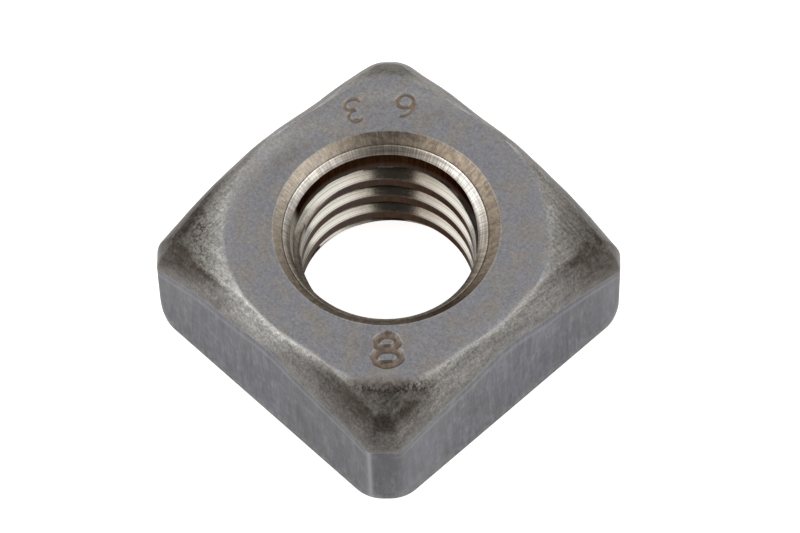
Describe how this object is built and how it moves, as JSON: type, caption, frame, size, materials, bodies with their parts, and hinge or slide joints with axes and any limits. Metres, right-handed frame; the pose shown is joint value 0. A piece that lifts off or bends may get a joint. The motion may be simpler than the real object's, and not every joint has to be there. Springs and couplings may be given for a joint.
{
  "type": "square nut",
  "caption": "Square nut with a coarse metric thread, a crowned top, rounded shoulders and a countersunk mouth.",
  "frame": {"origin": "centre of the bearing face, on the thread axis", "axes": "+Z along the thread axis from the bearing face to the crowned top; X and Y square to the sides"},
  "size_m": [0.017, 0.017, 0.0075],
  "materials": {
    "bare_steel": "satin, bare forged steel with bright machined bevels"
  },
  "bodies": {
    "root": {"square_nut": "bare_steel"}
  },
  "joints": []
}
